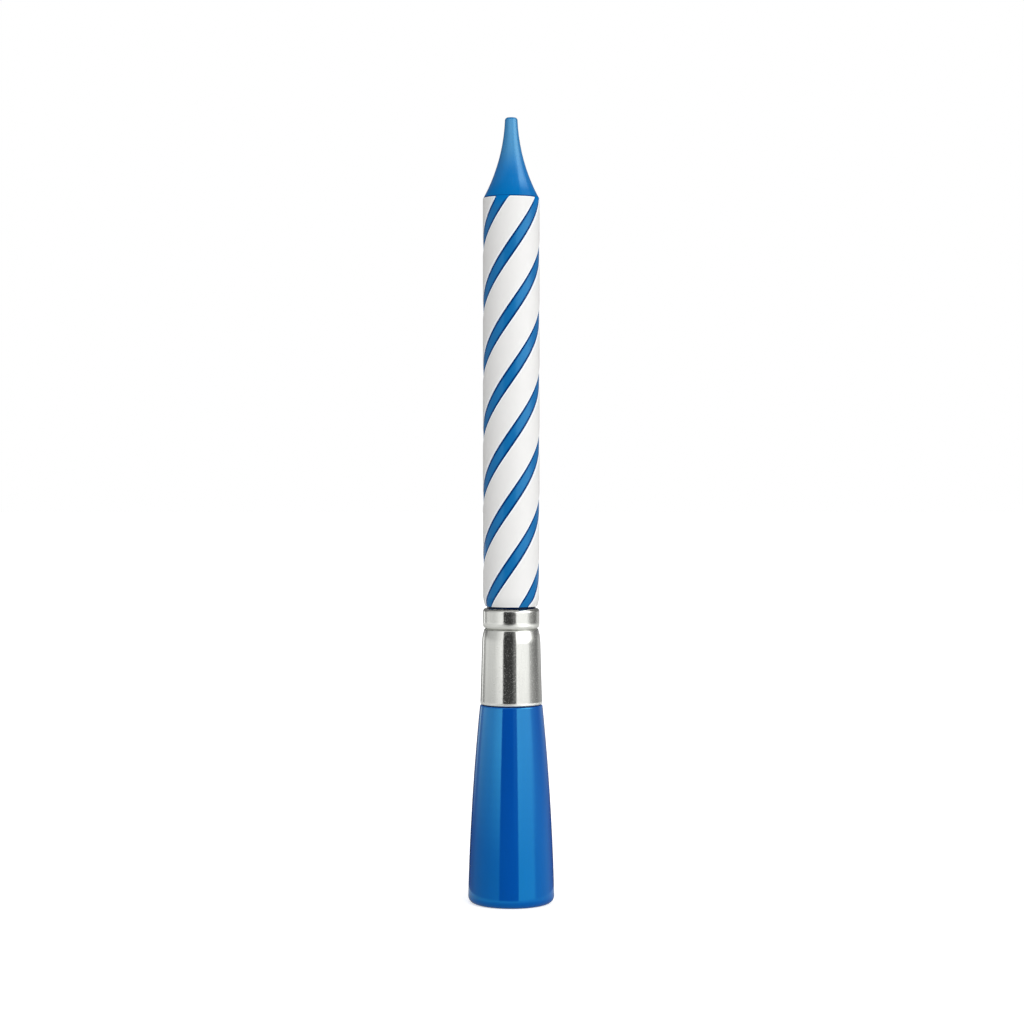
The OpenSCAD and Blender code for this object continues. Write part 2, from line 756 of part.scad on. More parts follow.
// Conical contact spring under the lowest cell
module battery_spring() {
    r = 0.25;
    sides = 6;
    turn_steps = 14;
    steps = turn_steps * spring_turns;
    wide = cell_r - 2 * r - cell_cap_inset;
    narrow = wide / 2;
    z0 = flange_z1 + contact_t + r + fit_gap;
    rise = spring_h - 2 * (r + fit_gap);
    rings = [for (k = [0 : steps])
        let (t = k / steps, a = 360 * spring_turns * t, coil = wide + (narrow - wide) * t)
        [for (i = [0 : sides - 1])
            let (b = -360 * i / sides, x = coil + r * cos(b))
            [x * cos(a), x * sin(a), z0 + rise * t + r * sin(b)]]];
    color(steel) loft(rings, function (i) false);
}

// One flat run of a bent contact strip
module strip_run(y0, y1, z0, z1) {
    translate([-contact_w / 2, y0, z0]) cube([contact_w, y1 - y0, z1 - z0]);
}

module negative_contact() {
    y_out = -trough_r1 - fit_gap;
    y_board = board_back - fit_gap;
    z0 = flange_z1;
    z1 = top_plate_z1 + fit_gap;
    color(steel) union() {
        disc(cell_r - cell_cap_inset, z0, z0 + contact_t);
        strip_run(y_out - contact_t, 0, z0, z0 + contact_t);
        strip_run(y_out - contact_t, y_out, z0, z1 + contact_t);
        strip_run(y_out - contact_t, y_board, z1, z1 + contact_t);
        strip_run(y_board - contact_t, y_board, z1, z1 + contact_t + tail_lap);
    }
}

module positive_contact() {
    y0 = board_front + fit_gap;
    color(brass) union() {
        disc(cell_r - cell_cap_inset, cell_z1, top_plate_z0 - fit_gap);
        strip_run(y0, y0 + contact_t, cell_z1, board_z0 + tail_lap);
    }
}

// Sounder: brass disc and ceramic on the cover's seat
module piezo_disc() {
    color(brass) disc(piezo_d / 2, piezo_z0, piezo_z0 + piezo_t);
}

module piezo_ceramic() {
    color(white) disc(piezo_d / 2 * ceramic_share, piezo_z0 + piezo_t, piezo_z0 + 2 * piezo_t);
}

// The sounder's two wires, from the board's front down past the holder
module piezo_wires() {
    r = wire_d / 2;
    z_board = board_z0 + tail_lap / 2;
    z_low = piezo_z0 + 2 * piezo_t + r * wire_ball + fit_gap;
    joint_y = piezo_d / 5;
    for (x = [-wire_x, wire_x]) color(x > 0 ? "firebrick" : dark)
        wire([[x, board_front + r * wire_ball + fit_gap, z_board], [x, wire_y, z_board], [x, wire_y, z_low],
            [x / 2, joint_y, z_low]], r);
}

// Base cover with sound holes, a seat for the sounder and posts for the screws
module base_cover() {
    seat_r = piezo_d / 2;
    color(blue) difference() {
        union() {
            disc(cover_r, cover_recess, cover_z1);
            tube(seat_r - piezo_seat_w, seat_r, cover_z1 - cut, piezo_z0);
            round_axis(screw_count, screw_r) disc(boss_r, cover_z1 - cut, flange_z0 - fit_gap);
        }
        disc(sound_hole_d / 2, 0, cover_z1 + cut);
        round_axis(sound_holes, sound_ring_r) disc(sound_hole_d / 2, 0, cover_z1 + cut);
        round_axis(screw_count, screw_r) {
            disc(screw_d / 2 + cover_gap, 0, flange_z0 + cut);
            disc(screw_head_d / 2 + cover_gap, 0, screw_seat);
        }
    }
}

// Pan-head screws with a cross recess, up through cover and holder into the handle's bosses
module base_screws() {
    recess_w = 0.4;
    recess_share = 0.6;
    recess_l = screw_head_d * recess_share;
    head_z0 = screw_seat - screw_head_h - fit_gap;
    color(steel) round_axis(screw_count, screw_r) difference() {
        union() {
            disc(screw_head_d / 2, head_z0, screw_seat - fit_gap);
            disc(screw_d / 2, head_z0, flange_z1 + screw_grip);
        }
        for (a = [0, 90]) rotate(a) translate([-recess_l / 2, -recess_w / 2, head_z0 - cut])
            cube([recess_l, recess_w, screw_head_h / 2 + cut]);
    }
}

candle_core();
spiral_ribs();
candle_jacket();
candle_plug();
collar_ring();
ferrule_sleeve();
swivel_bush();
switch_wiper();
handle_shell();
retaining_clip();
switch_tracks();
light_stalk();
tip_led();
led_wires();
circuit_board();
melody_chip();
led_resistor();
drive_transistor();
battery_holder();
button_cell_lower();
button_cell_middle();
button_cell_upper();
battery_spring();
negative_contact();
positive_contact();
piezo_disc();
piezo_ceramic();
piezo_wires();
base_cover();
base_screws();
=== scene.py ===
import math

import bpy
from bpy.props import FloatProperty, FloatVectorProperty, IntProperty, PointerProperty
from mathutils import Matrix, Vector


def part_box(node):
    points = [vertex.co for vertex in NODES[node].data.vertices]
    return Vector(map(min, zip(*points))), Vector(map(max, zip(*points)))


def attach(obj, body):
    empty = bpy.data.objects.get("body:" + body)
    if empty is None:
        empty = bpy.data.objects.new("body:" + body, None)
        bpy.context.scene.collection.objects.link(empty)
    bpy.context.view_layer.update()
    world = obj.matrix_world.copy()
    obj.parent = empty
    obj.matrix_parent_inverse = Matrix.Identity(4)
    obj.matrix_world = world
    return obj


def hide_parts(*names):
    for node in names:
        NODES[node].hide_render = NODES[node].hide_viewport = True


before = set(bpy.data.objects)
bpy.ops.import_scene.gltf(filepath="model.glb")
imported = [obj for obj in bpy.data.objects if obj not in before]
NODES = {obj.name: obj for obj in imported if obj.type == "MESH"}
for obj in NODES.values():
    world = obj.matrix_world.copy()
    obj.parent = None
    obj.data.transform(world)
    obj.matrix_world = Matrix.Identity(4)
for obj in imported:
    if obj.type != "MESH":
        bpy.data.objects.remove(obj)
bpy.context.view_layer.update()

bl_info = {
    "name": "Musical Candle",
    "version": (1, 0, 0),
    "blender": (4, 5, 0),
    "location": "View3D > Sidebar > Candle",
    "description": "Dresses a battery candle with its spiral panels, stripes, metalwork and gloss handle",
    "category": "Add Mesh",
}

MM = 0.001

# Lowest and highest corners of the pieces that give sizes and heights
PANEL_LOW, PANEL_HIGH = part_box("candle_jacket")
RIB_LOW, RIB_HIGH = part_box("spiral_ribs")
CORE_LOW, CORE_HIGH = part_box("candle_core")
HANDLE_LOW, HANDLE_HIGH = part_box("handle_shell")
RING_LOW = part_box("collar_ring")[0]
SLEEVE_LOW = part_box("ferrule_sleeve")[0]

# Steps of a spiral strip: along its body, through each rounding, over its face and back, and round its edges
BODY_STEPS = 150
ROUND_STEPS = 8
PANEL_FACE_STEPS = 36
STRIPE_FACE_STEPS = 18
BACK_STEPS = 6
EDGE_STEPS = 5
# Power of the foot's curve: 1 is a plain taper, and more runs it smoothly into the body
FOOT_BOW = 1.5
# Share of an upper corner's rounding that comes off each side of a panel
CORNER_TAPER = 0.6
# Height of the paler band (a painted highlight) along a panel's upper end, as a multiple of the rounding
# there
TOP_BAND = 1.5
# Share of an edge band that has its full tone before it fades into the face
FULL_BAND = 0.4
# Share of a lip that is at its palest and most matt before it fades into the drawn metal; the paler colour
# is a painted highlight
FULL_LIP = 0.72
# How light a lip (a painted highlight), the board's tracks and the tip's base (painted shade) are against
# the tone beside them
LIP_HIGHLIGHT_GAIN = 1.45
TRACK_GAIN = 1.9
TIP_BASE_SHADE = 0.88
# Faces that meet at more than this angle keep a sharp edge
SHARP_EDGE = math.radians(50)
# Most of a noise texture lies between these values, and the steel's matt specks between the next two
NOISE_LOW, NOISE_HIGH = 0.25, 0.75
SPECK_LOW, SPECK_HIGH = 0.48, 0.74
# Size of the clouding in a plain moulding, as a multiple of its fine texture
CLOUD_SPAN = 12
# Sides of the round tent
TENT_SIDES = 96

# Cloth of the tent that gloss and metal mirror: degrees round from the camera to the right, and the cloth's
# radiance at four heights, which the handle, the metal, the striped body and the tip mirror
TENT_STOPS = (
    # Dim cloth behind on the left, with a narrow strip lamp
    (-178, 0.05, 0.25, 0.2, 0.15), (-152, 0.05, 0.4, 0.2, 0.15), (-147, 0.08, 0.45, 0.2, 0.15),
    (-143, 0.15, 1.5, 0.2, 0.15), (-137, 0.18, 1.5, 0.2, 0.15), (-133, 0.18, 0.48, 0.2, 0.15),
    # Pale cloth on the left, brighter towards the front
    (-122, 0.25, 0.5, 0.3, 0.15), (-114, 0.32, 0.95, 0.5, 0.2), (-103, 0.34, 0.95, 0.6, 0.3),
    (-92, 0.36, 0.88, 0.65, 0.4), (-66, 0.38, 0.92, 0.75, 0.7), (-50, 0.42, 1.2, 1.05, 1.0),
    (-33, 0.46, 1.42, 1.4, 1.45),
    # Dark opening round the camera
    (-30, 0.12, 0.055, 0.05, 1.55), (5, 0.12, 0.055, 0.05, 1.55), (9, 0.14, 0.2, 0.2, 1.55),
    (18, 0.16, 0.2, 0.2, 1.4),
    # Tall lamp in front on the right
    (21, 0.98, 1.5, 2.2, 1.4), (34, 0.98, 1.39, 2.6, 1.4), (45, 0.98, 1.38, 3.0, 2.7),
    (62, 0.98, 1.38, 3.3, 2.7), (70, 0.52, 1.24, 3.6, 2.6), (78, 0.5, 0.66, 3.2, 2.5),
    # Cloth on the right, darker towards the back
    (90, 0.5, 0.42, 1.3, 1.8), (98, 0.5, 0.34, 0.6, 0.7), (110, 0.5, 0.24, 0.3, 0.3),
    (120, 0.45, 0.3, 0.25, 0.2),
    # Dim cloth behind on the right, with a weak strip lamp
    (132, 0.3, 0.55, 0.22, 0.15), (152, 0.1, 0.66, 0.2, 0.15), (160, 0.05, 0.3, 0.2, 0.15),
    (178, 0.05, 0.25, 0.2, 0.15),
)
# Above them, in the tent's crown, only the tall lamp's cloth is lit
CROWN_STOPS = ((52, 0.03), (62, 2.3), (104, 2.0), (114, 0.5), (120, 0.03))
# Heights between which the cloth changes from its rim to the first level, on to the next, and to the crown
TENT_LEVELS = ((-60 * MM, -32 * MM), (-10 * MM, 50 * MM), (68 * MM, 100 * MM),
               (205 * MM, 240 * MM), (275 * MM, 445 * MM))


# Properties

def length(name, description, default):
    """A size in metres"""
    return FloatProperty(name=name, description=description, default=default, min=0, subtype="DISTANCE",
                         unit="LENGTH", precision=5)


def turn(name, description, degrees):
    """An angle, given in degrees and kept in radians"""
    return FloatProperty(name=name, description=description, default=math.radians(degrees), subtype="ANGLE",
                         unit="ROTATION")


def share(name, description, default):
    """A plain factor"""
    return FloatProperty(name=name, description=description, default=default, min=0, subtype="FACTOR")


def colour(name, description, default):
    """A linear colour"""
    return FloatVectorProperty(name=name, description=description, default=default, size=3, min=0, max=1,
                               subtype="COLOR")


class CandleSizes(bpy.types.PropertyGroup):
    """Sizes of the striped body and of the metalwork's lips"""
    panel_radius: length("Panel radius", "Radius over the white panels", PANEL_HIGH.x)
    panel_thickness: length("Panel thickness", "From the blue tube to the outside of a panel", 1 * MM)
    panel_edge: length("Panel edge", "Rounding along a panel's edges", 0.12 * MM)
    # The panel band is a painted highlight: a paler band along a panel's edges
    panel_band: length("Panel band", "Width of the polished band along a panel's edges", 0.5 * MM)
    panel_corner: length("Panel corner", "Rounding of a panel's upper corners", 0.5 * MM)
    rib_radius: length("Stripe radius", "Radius over the blue stripes", RIB_HIGH.x)
    rib_edge: length("Stripe edge", "Rounding along a stripe's edges", 0.1 * MM)
    # Painted shade: a dark band along a stripe's edges, in the seams
    rib_band: length("Stripe band", "Width of the dark band along a stripe's edges", 0.75 * MM)
    rib_blend: length("Stripe blend", "Height over which a stripe runs into the tip", 1.6 * MM)
    rib_overrun: length("Stripe overrun", "How far a stripe goes on above the panels", 0.15 * MM)
    seam: length("Seam", "Half the gap between a stripe and a panel", 0.015 * MM)
    tip_ledge: length("Tip ledge", "Step in from the panels to the base of the tip", 0.12 * MM)
    foot_height: length("Foot height", "Height of the rounded foot of the striped body", 2.4 * MM)
    foot_draw: length("Foot draw", "How far the rounded foot draws in", 0.55 * MM)
    stripe_count: IntProperty(name="Stripes", description="Number of blue stripes", default=4, min=1)
    stripe_width: turn("Stripe width", "Width of one stripe round the candle", 28.5)
    stripe_lead: length("Stripe lead", "Rise of a stripe in one full turn", 62.8 * MM)
    stripe_front: length("Stripe front", "Height above the foot where a stripe crosses the front", 26.9 * MM)
    ring_lip: length("Ring lip", "From the foot of the ring's hidden spigot to the top of its lip", 3.1 * MM)
    sleeve_lip: length("Sleeve lip", "Height of the turned lip at the sleeve's foot", 0.8 * MM)


class CandleColours(bpy.types.PropertyGroup):
    """Colours of the finishes, linear"""
    handle_blue: colour("Handle blue", "Gloss handle", (0.0, 0.068, 0.39))
    handle_glint: colour("Handle glint", "Tint of reflections low on the handle", (0.06, 0.78, 1.0))
    neck_glint: colour("Neck glint", "Tint of reflections high on the handle", (0.18, 0.81, 1.0))
    tip_blue: colour("Tip blue", "Base of the tip", (0.002, 0.165, 0.49))
    tip_glint: colour("Tip glint", "Tint of the tip's reflections", (0.54, 0.95, 1.0))
    # Paler blue of the tip's upper part
    tip_pale_end: colour("Tip haze", "Hazy upper part of the tip", (0.03, 0.21, 0.48))
    stripe_blue: colour("Stripe blue", "Stripes between the panels", (0.005, 0.143, 0.4))
    # Painted shade in the seams along the stripes and in the line under the tip
    painted_seam_shade: colour("Stripe edge", "Edges of the stripes, line under the tip", (0.0, 0.026, 0.14))
    stripe_glint: colour("Stripe glint", "Tint of the stripes' reflections", (0.42, 0.95, 1.0))
    # Painted shade in the deep gap at the foot of the striped body
    foot_shade: colour("Foot shade", "Deep gap at the foot of the striped body", (0.002, 0.008, 0.04))
    panel_white: colour("Panel white", "White panels", (0.8, 0.795, 0.785))
    # Painted highlight along the white panels' edges
    panel_edge: colour("Panel edge", "Polished edges of the white panels", (0.9, 0.945, 0.99))
    steel: colour("Steel", "Ring and sleeve", (0.63, 0.635, 0.605))
    bright_steel: colour("Bright steel", "Cells, spring, clip and screws", (0.64, 0.64, 0.62))
    brass: colour("Brass", "Contacts and the sounder's disc", (0.62, 0.44, 0.16))
    cover_blue: colour("Cover blue", "Matt base cover", (0.0, 0.06, 0.3))
    natural: colour("Natural plastic", "Plug, bush and stalk", (0.7, 0.69, 0.63))
    black: colour("Black plastic", "Battery holder", (0.02, 0.02, 0.022))
    resin: colour("Chip resin", "Sealed chip and the parts beside it", (0.012, 0.012, 0.012))
    board: colour("Board green", "Circuit board", (0.02, 0.14, 0.05))
    ceramic: colour("Ceramic", "Silvered ceramic of the sounder", (0.72, 0.71, 0.66))
    lamp: colour("Lamp", "Clear resin of the lamp", (0.86, 0.86, 0.8))
    wire_red: colour("Red wire", "Insulation of the live wires", (0.35, 0.02, 0.02))
    wire_black: colour("Black wire", "Insulation of the return wires", (0.015, 0.015, 0.017))


class CandleStage(bpy.types.PropertyGroup):
    """Camera, light and floor"""
    camera_distance: length("Camera distance", "From the candle's axis to the camera", 0.5965)
    camera_height: length("Camera height", "Height of the camera above the floor", 112.3 * MM)
    camera_tilt: turn("Camera tilt", "How far the camera looks down", 1.38)
    camera_shift: FloatProperty(name="Camera shift", description="Sideways shift of the frame",
                                default=0.00075)
    camera_near: length("Camera near", "Nearest distance that the camera sees", 10 * MM)
    lens: FloatProperty(name="Lens", description="Focal length in millimetres", default=83.88, min=1)
    tent_radius: length("Tent radius", "From the candle's axis to the cloth that it mirrors", 0.25)
    tent_low: length("Tent drop", "How far the tent's cloth hangs below the floor's level", 0.06)
    tent_high: length("Tent height", "Height of the tent's cloth above the floor's level", 0.52)
    ceiling_light: share("Ceiling light", "Radiance of the tent's top", 0.03)
    ground_light: share("Ground light", "Radiance of the tent's bottom", 0.82)
    rim_light: share("Rim light", "Radiance where the tent's cloth meets its bottom", 0.45)
    shade_light: share("Shade light", "Radiance of the shaded floor at the candle's foot", 0.3)
    shade_rim: share("Shade rim", "Radiance at the edge of the shaded floor", 0.66)
    shade_reach: length("Shade reach", "How far from the axis the shaded floor goes", 0.03)
    shade_drop: length("Shade drop", "How far the shaded floor lies below the floor's level", 0.5 * MM)
    sky_light: share("Sky light", "Radiance of the studio's walls and ceiling", 0.565)
    lamp_light: share("Lamp light", "Light of the soft lamp on a surface that faces it", 0.59)
    lamp_side: turn("Lamp side", "Where the soft lamp stands, round from the camera", 33)
    lamp_height: turn("Lamp height", "How high the soft lamp stands", 30)
    lamp_size: turn("Lamp size", "How wide the soft lamp looks", 70)
    floor_reach: length("Floor reach", "From the candle's axis to the floor's sides", 4)
    floor_drop: length("Floor drop", "Gap that keeps the floor clear of the handle's foot", 0.02 * MM)
    floor_colour: share("Floor colour", "Reflectance of the pale floor", 0.8)
    floor_white: share("Floor white", "White that the camera sees in the floor", 0.6)


# Node helpers

def add_node(tree, kind, inputs=None, **settings):
    """A new node with its settings made and its inputs set or linked"""
    made = tree.nodes.new(kind)
    for key, value in settings.items():
        setattr(made, key, value)
    for key, value in (inputs or {}).items():
        socket = made.inputs[key]
        if isinstance(value, bpy.types.NodeSocket):
            tree.links.new(value, socket)
        else:
            socket.default_value = value
    return made


def new_finish(name, tone, roughness, metallic=0.0, ior=1.5):
    """A material with one principled shader, and that shader's tree and node"""
    material = bpy.data.materials.new(name)
    material.use_nodes = True
    tree = material.node_tree
    shader = tree.nodes["Principled BSDF"]
    shader.inputs["Base Color"].default_value = (*tone, 1)
    shader.inputs["Roughness"].default_value = roughness
    shader.inputs["Metallic"].default_value = metallic
    shader.inputs["IOR"].default_value = ior
    return material, tree, shader


def bare_material(name):
    """A material with no nodes yet, and its tree"""
    material = bpy.data.materials.new(name)
    material.use_nodes = True
    material.node_tree.nodes.clear()
    return material, material.node_tree


def object_point(tree, stretch=(1, 1, 1)):
    """Position on the piece in metres, stretched along its axes"""
    place = add_node(tree, "ShaderNodeTexCoord").outputs["Object"]
    if stretch == (1, 1, 1):
        return place
    return add_node(tree, "ShaderNodeVectorMath", {0: place, 1: stretch}, operation="MULTIPLY").outputs[0]


def split_point(tree):
    """Position on the piece in metres, as separate X, Y and Z"""
    return add_node(tree, "ShaderNodeSeparateXYZ", {0: object_point(tree)}).outputs


def height_on(tree):
    """Height above the handle's foot in metres"""
    return split_point(tree)["Z"]


def edge_share(tree):
    """Share of the edge band that a strip's mesh keeps at each point"""
    return add_node(tree, "ShaderNodeAttribute", attribute_name="edge").outputs["Fac"]


def grain(tree, size, detail=2.0, stretch=(1, 1, 1)):
    """Noise from 0 to 1 with features of about the given size in metres"""
    inputs = {"Vector": object_point(tree, stretch), "Scale": 1 / size, "Detail": detail}
    return add_node(tree, "ShaderNodeTexNoise", inputs).outputs["Fac"]


def math_node(tree, operation, first, second):
    """Result of an operation on two values"""
    return add_node(tree, "ShaderNodeMath", {0: first, 1: second}, operation=operation).outputs[0]


def map_range(tree, value, low, high, to_low=0.0, to_high=1.0, kind="LINEAR"):
    """A value carried from one range to another, kept inside it"""
    inputs = {"Value": value, "From Min": low, "From Max": high, "To Min": to_low, "To Max": to_high}
    return add_node(tree, "ShaderNodeMapRange", inputs, interpolation_type=kind).outputs["Result"]


def vary(tree, noise, low, high):
    """Noise carried to a range of values"""
    return map_range(tree, noise, NOISE_LOW, NOISE_HIGH, low, high)


def scaled(tone, factor):
    """A colour made lighter or darker"""
    return tuple(min(1.0, part * factor) for part in tone)


def blend_tones(tree, factor, first, second):
    """Colour that goes from first to second as the factor goes from 0 to 1"""
    mix = add_node(tree, "ShaderNodeMix", {"Factor": factor}, data_type="RGBA")
    for socket, tone in ((mix.inputs["A"], first), (mix.inputs["B"], second)):
        if isinstance(tone, bpy.types.NodeSocket):
            tree.links.new(tone, socket)
        else:
            socket.default_value = (*tone, 1)
    return mix.outputs["Result"]


def mottle(tree, noise, tone, depth):
    """A colour that noise makes darker and lighter by a share"""
    return blend_tones(tree, noise, scaled(tone, 1 - depth), scaled(tone, 1 + depth))


def set_input(tree, shader, name, socket):
    """Lets a value that changes over the surface drive one of the shader's inputs"""
    tree.links.new(socket, shader.inputs[name])


def set_bump(tree, shader, height, strength, distance):
    """Small relief on the shader's surface"""
    bump = add_node(tree, "ShaderNodeBump", {"Height": height, "Strength": strength, "Distance": distance})
    set_input(tree, shader, "Normal", bump.outputs["Normal"])


def dress(finish, *nodes):
    """Gives a finish to CAD nodes, whose shapes stay as they are"""
    for name in nodes:
        for slot in NODES[name].material_slots:
            slot.material = finish


# Finishes

def handle_finish(tones):
    """High gloss blue with faint flow in the moulding and fine handling marks"""
    finish, tree, shader = new_finish("handle_blue_gloss", tones.handle_blue, roughness=0.05, ior=2.4)
    climb = map_range(tree, height_on(tree), HANDLE_LOW.z + 8 * MM, HANDLE_HIGH.z)
    set_input(tree, shader, "Specular Tint", blend_tones(tree, climb, tones.handle_glint, tones.neck_glint))
    flow = grain(tree, 9 * MM, stretch=(1, 1, 0.3))
    set_input(tree, shader, "Base Color", mottle(tree, flow, tones.handle_blue, depth=0.06))
    marks = grain(tree, 1.2 * MM, detail=5)
    set_input(tree, shader, "Roughness", vary(tree, marks, low=0.035, high=0.075))
    set_bump(tree, shader, grain(tree, 4 * MM), strength=0.02, distance=0.02 * MM)
    return finish


def tip_finish(tones):
    """Moulded blue, paler towards the tip's end, with painted shade at the tip's base, in a line under the
    tip and at the tube's foot
    """
    finish, tree, shader = new_finish("tip_blue_moulding", tones.tip_blue, roughness=0.2, ior=1.8)
    shader.inputs["Specular Tint"].default_value = (*tones.tip_glint, 1)
    base, end, foot = PANEL_HIGH.z, CORE_HIGH.z, PANEL_LOW.z
    height = height_on(tree)
    tone = mottle(tree, grain(tree, 2.5 * MM), tones.tip_blue, depth=0.05)
    # Painted shade: the tip's base is darker
    rise = map_range(tree, height, base + 0.4 * MM, base + 4 * MM)
    tone = blend_tones(tree, rise, scaled(tones.tip_blue, TIP_BASE_SHADE), tone)
    # Painted shade: a dark line under the tip, where it meets the panels
    above_shade_line = map_range(tree, height, base + 0.1 * MM, base + 0.4 * MM)
    tone = blend_tones(tree, above_shade_line, tones.painted_seam_shade, tone)
    # Painted shade in the gap at the tube's foot
    over_foot = map_range(tree, height, foot - 0.1 * MM, foot + 0.3 * MM)
    tone = blend_tones(tree, over_foot, tones.foot_shade, tone)
    # Paler blue towards the tip's end
    paleness = map_range(tree, height, end - 13.5 * MM, end - 7.2 * MM, kind="SMOOTHSTEP")
    set_input(tree, shader, "Base Color", blend_tones(tree, paleness, tone, tones.tip_pale_end))
    gloss = map_range(tree, height, base + 1.6 * MM, base + 4.4 * MM, to_low=0.05, to_high=0.5)
    set_input(tree, shader, "Specular IOR Level", gloss)
    marks = grain(tree, 0.8 * MM, detail=4)
    set_input(tree, shader, "Roughness", vary(tree, marks, low=0.13, high=0.19))
    set_bump(tree, shader, grain(tree, 0.3 * MM, detail=3), strength=0.04, distance=0.02 * MM)
    return finish


def stripe_finish(tones):
    """Moulded blue with painted shade, a dark band, along the edges in the seams, running into the tip's
    blue at the top
    """
    finish, tree, shader = new_finish("stripe_blue_moulding", tones.stripe_blue, roughness=0.2, ior=1.42)
    shader.inputs["Specular Tint"].default_value = (*tones.stripe_glint, 1)
    face = mottle(tree, grain(tree, 2.5 * MM), tones.stripe_blue, depth=0.06)
    climb = map_range(tree, height_on(tree), PANEL_HIGH.z - 4 * MM, PANEL_HIGH.z, kind="SMOOTHSTEP")
    face = blend_tones(tree, climb, face, tones.tip_blue)
    # Painted shade: the edge band is dark and has no gloss
    edge = edge_share(tree)
    set_input(tree, shader, "Base Color", blend_tones(tree, edge, face, tones.painted_seam_shade))
    matt = math_node(tree, "MAXIMUM", edge, climb)
    set_input(tree, shader, "Specular IOR Level", map_range(tree, matt, 0, 1, to_low=0.5, to_high=0))
    marks = grain(tree, 0.6 * MM, detail=4)
    set_input(tree, shader, "Roughness", vary(tree, marks, low=0.16, high=0.25))
    set_bump(tree, shader, grain(tree, 0.3 * MM, detail=3), strength=0.05, distance=0.02 * MM)
    return finish


def panel_finish(tones):
    """White moulding with faint mottling, and a painted highlight: paler bands along the edges"""
    finish, tree, shader = new_finish("panel_white_moulding", tones.panel_white, roughness=0.42)
    shader.inputs["Specular IOR Level"].default_value = 0.15
    face = mottle(tree, grain(tree, 2.2 * MM, detail=4), tones.panel_white, depth=0.015)
    # Painted highlight: the edge band is paler than the face
    set_input(tree, shader, "Base Color", blend_tones(tree, edge_share(tree), face, tones.panel_edge))
    marks = grain(tree, 0.6 * MM, detail=4)
    set_input(tree, shader, "Roughness", vary(tree, marks, low=0.36, high=0.48))
    set_bump(tree, shader, grain(tree, 0.25 * MM, detail=3), strength=0.05, distance=0.02 * MM)
    return finish


def steel_finish(name, tones, foot, lip):
    """Satin steel with fine upright streaks, a speckled grain and a matt lip at its foot, painted paler as a
    highlight
    """
    finish, tree, shader = new_finish(name, tones.steel, roughness=0.1, metallic=1.0)
    streaks = grain(tree, 0.2 * MM, detail=3, stretch=(1, 1, 0.02))
    drawn = mottle(tree, streaks, tones.steel, depth=0.07)
    # The lip band is matt, and its paler colour is a painted highlight
    lip_band = map_range(tree, height_on(tree), foot + FULL_LIP * lip, foot + lip, to_low=1, to_high=0)
    set_input(tree, shader, "Base Color", blend_tones(tree, lip_band, drawn, scaled(tones.steel, LIP_HIGHLIGHT_GAIN)))
    speck = grain(tree, 0.2 * MM, detail=3)
    speck_matt = map_range(tree, speck, SPECK_LOW, SPECK_HIGH, to_low=0.06, to_high=0.42)
    lip_matt = map_range(tree, lip_band, 0, 1, to_low=0, to_high=0.55)
    set_input(tree, shader, "Roughness", math_node(tree, "MAXIMUM", lip_matt, speck_matt))
    set_bump(tree, shader, speck, strength=0.2, distance=0.01 * MM)
    return finish


def moulded_finish(name, tone, low, high, texture):
    """Plain moulded plastic or resin of low to high roughness, with fine texture of the given size"""
    finish, tree, shader = new_finish(name, tone, roughness=(low + high) / 2)
    cloud = grain(tree, CLOUD_SPAN * texture, detail=3)
    set_input(tree, shader, "Base Color", mottle(tree, cloud, tone, depth=0.1))
    speck = grain(tree, texture, detail=3)
    set_input(tree, shader, "Roughness", vary(tree, speck, low, high))
    set_bump(tree, shader, speck, strength=0.15, distance=0.03 * MM)
    return finish


def metal_finish(name, tone, low, high, rolled):
    """Plain metal of low to high roughness, with rolling lines along one axis"""
    finish, tree, shader = new_finish(name, tone, roughness=(low + high) / 2, metallic=1.0)
    set_input(tree, shader, "Base Color", mottle(tree, grain(tree, 2 * MM), tone, depth=0.08))
    lines = grain(tree, 0.15 * MM, detail=3, stretch=rolled)
    set_input(tree, shader, "Roughness", vary(tree, lines, low, high))
    set_bump(tree, shader, lines, strength=0.08, distance=0.01 * MM)
    return finish


def board_finish(tones):
    """Green solder mask over a glass weave, with paler tracks under it"""
    finish, tree, shader = new_finish("board_solder_mask", tones.board, roughness=0.35)
    point = object_point(tree)
    weave = add_node(tree, "ShaderNodeTexWave", {"Vector": point, "Scale": 0.35 / MM, "Distortion": 1.5},
                     bands_direction="DIAGONAL").outputs["Fac"]
    tracks = add_node(tree, "ShaderNodeTexBrick",
                      {"Vector": point, "Scale": 0.22 / MM, "Mortar Size": 0.06, "Color1": (0, 0, 0, 1),
                       "Color2": (0, 0, 0, 1), "Mortar": (1, 1, 1, 1)}).outputs["Fac"]
    mask = mottle(tree, weave, tones.board, depth=0.1)
    set_input(tree, shader, "Base Color", blend_tones(tree, tracks, mask, scaled(tones.board, TRACK_GAIN)))
    set_input(tree, shader, "Roughness", vary(tree, weave, low=0.28, high=0.42))
    set_bump(tree, shader, tracks, strength=0.2, distance=0.03 * MM)
    return finish


def wire_finish(tones):
    """Soft insulation, red on one side of the candle and black on the other"""
    finish, tree, shader = new_finish("wire_insulation", tones.wire_red, roughness=0.5)
    live = math_node(tree, "GREATER_THAN", split_point(tree)["X"], 0.0)
    set_input(tree, shader, "Base Color", blend_tones(tree, live, tones.wire_black, tones.wire_red))
    marks = grain(tree, 0.4 * MM, detail=3)
    set_input(tree, shader, "Roughness", vary(tree, marks, low=0.42, high=0.6))
    set_bump(tree, shader, marks, strength=0.1, distance=0.02 * MM)
    return finish


